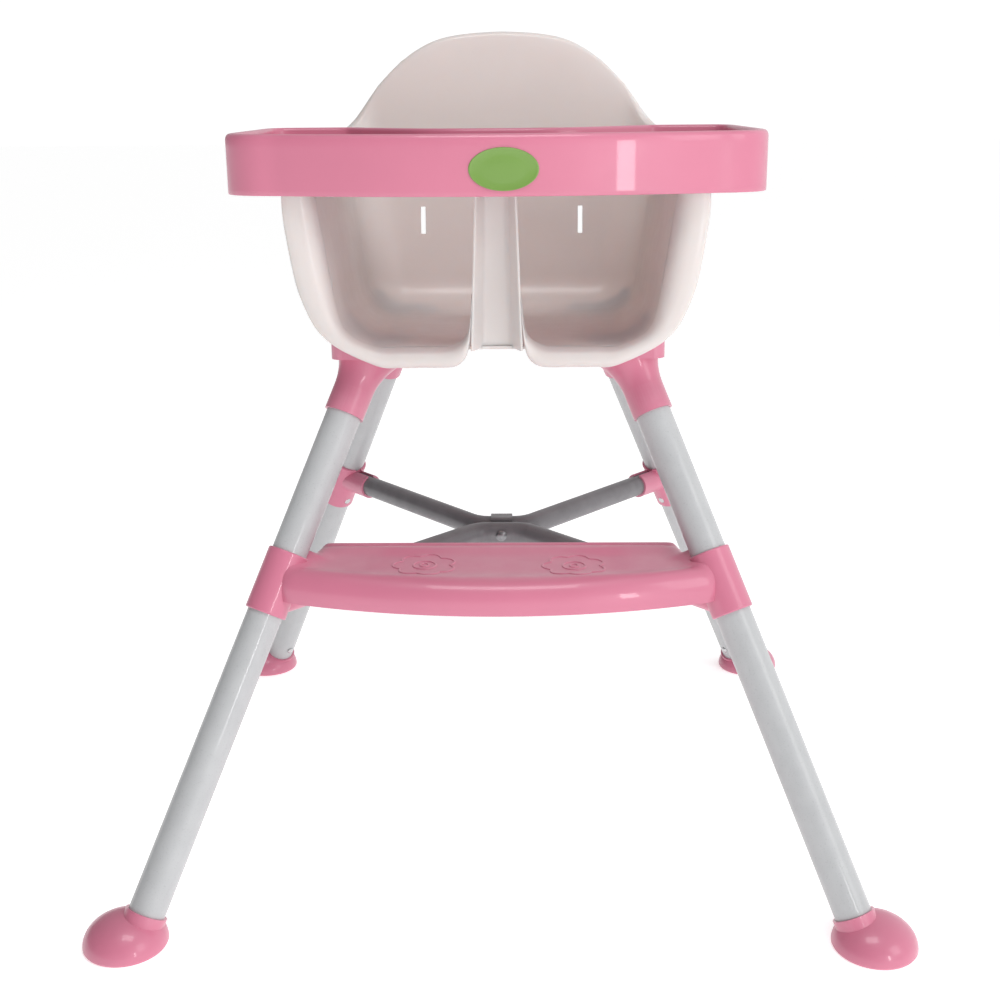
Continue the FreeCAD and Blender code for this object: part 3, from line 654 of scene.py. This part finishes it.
def tray():
    """Floor, rounded rim and skirt, with the two hooks that run under the seat's arm flanges."""
    plan = tray_outline()
    normal = inward(plan)
    skirt = np.array([skirt_low(x, y) for x, y in plan])
    rim = mix(FRONT_RIM_Z, TRAY_HIGH.z, (plan[:, 1] - TRAY_LOW.y) / (TRAY_HIGH.y - TRAY_LOW.y))

    def ring(inset, z):
        return plan_ring(plan + normal * inset, z)

    rows = [ring(inset, z) for inset, z in ((12, 716.3), (8, 716.3), (7.8, 726.0), (7.0, 729.5),
                                            (4.0, 729.5), (3.0, 727.0))]
    rows += [ring(inset, skirt + up) for inset, up in ((3.0, 1.5), (2.6, 0.4), (1.6, 0.0), (0.6, 0.25),
                                                       (0.05, 1.2))]
    rows += [ring(0.0, mix(skirt, rim - 6, s)) for s in (0.1, 0.35, 0.65, 0.9)]
    rows += [ring(inset, rim - down) for inset, down in ((0.0, 5.8), (0.35, 3.7), (1.3, 1.8), (2.9, 0.5),
                                                         (5.0, 0.0), (7.4, 0.0), (9.2, 0.5), (10.4, 1.7),
                                                         (11.0, 3.6))]
    rows += [ring(inset, TRAY_FLOOR_Z + up)
             for inset, up in ((11.6, 4.6), (12.6, 2.2), (14.4, 0.7), (17.5, 0.0))]
    hooks = [block(207, 210.5, -150, 50, 708.5, 717), block(198.5, 208, -150, 50, 708.5, 711.5)]
    hooks += [([(-x, y, z) for x, y, z in verts], faces) for verts, faces in hooks]
    return join(solid_of_rings(rows), *hooks)


def badge():
    """Oval plate with a rolled rim, on the bow of the tray's front."""
    low, high = [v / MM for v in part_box("tray_badge")]
    centre, radius = (low + high) / 2, (high - low) / 2
    bow_r = (BOW_END[0]**2 + BOW_RISE**2) / (2 * BOW_RISE)
    turn = [2 * math.pi * k / 96 for k in range(96)]
    rows = []
    for scale, rise in ((0.97, -0.6), (1.0, 0.2), (1.0, 0.8), (0.985, 1.25), (0.96, 1.3), (0.93, 1.05),
                        (0.90, 0.8), (0.6, 1.05), (0.25, 1.15)):
        row = []
        for a in turn:
            x = centre.x + radius.x * scale * math.cos(a)
            surface = TRAY_LOW.y + bow_r - math.sqrt(bow_r**2 - x * x)
            row.append((x, surface - rise, centre.z + radius.z * scale * math.sin(a)))
        rows.append(row)
    return solid_of_rings(rows)


# ---------------------------------------------------------------- footrest

REST_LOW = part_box("footrest")[0] / MM
UNDER_Z = REST_LOW.z
REST_REAR = -126.0
TOP_Z = 330.0

# The front is an arc that bows out by REST_BOW from its ends.
REST_END = (198.0, -228.0)
REST_BOW = 36.0

# The tread's rings run from TREAD_EDGE inside the outline to the spine, a line along its middle.
TREAD_EDGE = 3.6
TREAD_SPAN = 66.0
SPINE_X, SPINE_Y = 150.0, -192.0

# The rolled front and the dish behind it: inset, height, and the share of the ends' rise.
TREAD = [(6.6, 324.8, 1.0), (10.5, 327.6, 1.0), (15.0, 329.4, 0.9), (20.0, TOP_Z, 0.6), (26.0, 329.5, 0.3),
         (33.0, 328.3, 0.1), (41.0, 327.3, 0.0), (50.0, 327.0, 0.0), (62.0, 327.0, 0.0)]
DISH = [(TREAD_EDGE, 321.2)] + [(inset, z) for inset, z, _ in TREAD]


def rest_outline():
    """Plan of the footrest, clockwise: straight rear, rounded ends and a bowed front."""
    right = line((0, REST_REAR), (176, REST_REAR), 40) + line((176, REST_REAR), (188, -134), 5)
    right += line((188, -134), (192, -163), 8)
    end = smooth_curve([(192, -163), (202, -168), (210, -182), (213.5, -200), (213.5, -214),
                        (207, -224.5)], 6)
    right += end[:-1] + line(end[-1], REST_END, 3)
    nose = arc(REST_END, (0, REST_LOW.y), (-REST_END[0], REST_END[1]), 110)
    return relax(resample(right + nose + mirrored(right[1:]), 320, closed=True), 6)


def end_rise(x, y):
    """The rim climbs round the inner side of the connectors at both ends."""
    climb = clamp((40.0 - math.hypot(abs(x) - 208.5, y + 192.8)) / 16.0)
    return 8.0 * ease(climb) * ease(clamp((y + 226.0) / 22.0))


def footrest():
    """Shallow dished tread with a broad rolled front and ends that rise round the connectors."""
    plan = rest_outline()
    normal = -inward(plan)
    rear = np.clip((plan[:, 1] + 136.0) / 8.0, 0, 1)
    rise = np.array([end_rise(x, y) for x, y in plan])

    def ring(inset, z):
        return plan_ring(plan + normal * inset, z)

    def toward_spine(inset, share, z):
        """A ring between an inset ring and the spine, which never crosses itself."""
        moved = plan + normal * inset
        spine = np.stack([np.clip(moved[:, 0], -SPINE_X, SPINE_X), np.full(len(plan), SPINE_Y)], 1)
        return plan_ring(mix(moved, spine, share), z)

    def rim_z(inset, z):
        """The rim is broad and rolled in front, thin and nearly square at the rear."""
        rear_z = TOP_Z - 8 + 8 * min(1.0, inset / 4.0) - 3.0 * clamp((inset - 5.0) / 6.0)
        return np.maximum(z, mix(z, rear_z, rear)) if inset < 20 else z

    rows = [toward_spine(9, 0.8, 322.0), toward_spine(9, 0.3, 322.0), ring(9, 321.8),
            ring(4.5, 316.0 + 5 * rear), ring(3.0, 306.0 + 15.5 * rear)]
    rows += [ring(inset, UNDER_Z + up + 23.5 * rear) for inset, up in ((3.0, 1.5), (2.4, 0.3), (1.5, 0.0),
                                                                       (0.6, 0.4), (0.1, 1.6))]
    rows += [ring(inset, rim_z(inset, z) + rise * min(1.0, inset / 3.0 + 0.35))
             for inset, z in ((0.0, 308.0), (0.4, 312.5), (1.6, 317.0), (3.6, 321.2))]
    rows += [toward_spine(TREAD_EDGE, (inset - TREAD_EDGE) / TREAD_SPAN, rim_z(inset, z) + rise * share)
             for inset, z, share in TREAD]
    return solid_of_rings(rows)


def dish_z(x, y):
    """Height of the tread's top, between the rolled front, the rear rim and the spine."""
    if y < SPINE_Y:
        edge = REST_LOW.y + REST_BOW * (x / REST_END[0])**2 + TREAD_EDGE
    else:
        edge = REST_REAR - TREAD_EDGE
    return along(DISH, TREAD_EDGE + TREAD_SPAN * (y - edge) / (SPINE_Y - edge))


def ridge(path, radius):
    """Raised line: a half-sunk tube along a closed path on the tread."""
    pts = np.array(path)
    section = [i * math.pi / 4 for i in range(8)]
    rings = []
    for p, n in zip(pts, inward(pts)):
        z = dish_z(*p)
        rings.append([(*(p + n * radius * math.cos(a)), z + radius * 0.8 * math.sin(a)) for a in section])
    return solid_of_rings(rings, loop=True)


def emboss(cx, cy):
    """A plain flower in outline: a scalloped border, a ring and a middle."""
    turn = [2 * math.pi * i / 96 for i in range(96)]
    scallop = [6.0 * abs(math.sin(3.5 * a)) for a in turn]
    petals = [(cx + (25 + s) * math.cos(a), cy + (27 + s) * math.sin(a)) for a, s in zip(turn, scallop)]
    heart = [(cx + 11 * math.cos(a), cy + 12 * math.sin(a)) for a in turn[::2]]
    middle = [(cx + 4 * math.cos(a), cy + 5 * math.sin(a)) for a in turn[::4]]
    return join(*[ridge(path, 1.2) for path in (petals, heart, middle)])


# ---------------------------------------------------------------- pieces

for name, obj in NODES.items():
    obj.data.materials.clear()
    obj.data.materials.append(FINISH[SLOT_OF[name]])

pads = [leg_pad(side, end) for side in (-1, 1) for end in ("front", "rear")]
build("seat_moulding", join(seat_bucket(), front_band(-1), front_band(1), post(), *pads),
      "chair", "seat_plastic", ["seat_shell"])
build("tray_moulding", tray(), "tray", "coloured_plastic", ["tray"])
build("badge_plate", badge(), "tray", "badge_plastic", ["tray_badge"])
build("footrest_moulding", join(footrest(), emboss(-72, -196), emboss(74, -199)),
      "chair", "coloured_plastic", ["footrest"])


# ---------------------------------------------------------------- studio

FLOOR_HALF = 60.0


def area(name, place, target, width, height, power):
    """A rectangular soft light that faces its target."""
    data = bpy.data.lights.new(name, "AREA")
    data.shape = "RECTANGLE"
    data.size = width
    data.size_y = height
    data.energy = power
    light = bpy.data.objects.new(name, data)
    light.location = place
    light.rotation_euler = (Vector(target) - Vector(place)).to_track_quat("-Z", "Y").to_euler()
    bpy.context.scene.collection.objects.link(light)
    return light


def surroundings():
    """White to the camera, and to the object dimmer in front and on the left."""
    world = bpy.data.worlds.new("studio")
    bpy.context.scene.world = world
    world.use_nodes = True
    tree = world.node_tree
    way = tree.nodes.new("ShaderNodeSeparateXYZ")
    feed(tree, tree.nodes.new("ShaderNodeTexCoord").outputs["Generated"], way.inputs[0])
    back = map_range(tree, way.outputs["Y"], -1.0, 0.5, 0.32, 0.70)
    side = map_range(tree, way.outputs["X"], -1.0, 1.0, 0.12, 1.75)
    seen = tree.nodes.new("ShaderNodeLightPath").outputs["Is Camera Ray"]
    backdrop = node(tree, "ShaderNodeMix", {"Factor": seen, "A": multiply(tree, back, side), "B": 1.05})
    background = tree.nodes["Background"]
    background.inputs["Color"].default_value = (1.0, 1.0, 1.0, 1.0)
    feed(tree, backdrop.outputs["Result"], background.inputs["Strength"])


def pale_floor():
    far = FLOOR_HALF
    mesh = bpy.data.meshes.new("floor")
    mesh.from_pydata([(-far, -far, 0), (far, -far, 0), (far, far, 0), (-far, far, 0)], [], [(0, 1, 2, 3)])
    floor = bpy.data.objects.new("floor", mesh)
    bpy.context.scene.collection.objects.link(floor)
    material, _, shader = principled("floor_paint")
    shader.inputs["Base Color"].default_value = (0.93, 0.93, 0.93, 1.0)
    shader.inputs["Roughness"].default_value = 0.9
    shader.inputs["Emission Color"].default_value = (1.0, 1.0, 1.0, 1.0)
    shader.inputs["Emission Strength"].default_value = 0.50
    mesh.materials.append(material)


def camera():
    data = bpy.data.cameras.new("camera")
    data.sensor_width = 36.0
    data.lens = 48.6
    data.clip_start = 0.05
    data.clip_end = 60
    cam = bpy.data.objects.new("camera", data)
    cam.location = (0.0265, -1.4483, 0.7409)
    cam.rotation_euler = Euler([math.radians(a) for a in (74.4693, 0.4629, 0.9773)], "XYZ")
    bpy.context.scene.collection.objects.link(cam)
    bpy.context.scene.camera = cam


surroundings()
pale_floor()
camera()
area("key", (2.3, -1.9, 1.7), (0, 0, 0.5), 1.2, 1.6, 16)
area("front", (-0.2, -2.4, 0.42), (0, 0, 0.62), 2.0, 0.5, 8).visible_glossy = False
area("overhead", (0.0, -0.8, 2.3), (0, 0.1, 0.7), 1.0, 0.7, 12)
area("window", (1.45, -2.62, 0.62), (0, -0.1, 0.68), 0.22, 0.80, 9)
bpy.context.scene.view_settings.view_transform = "Standard"
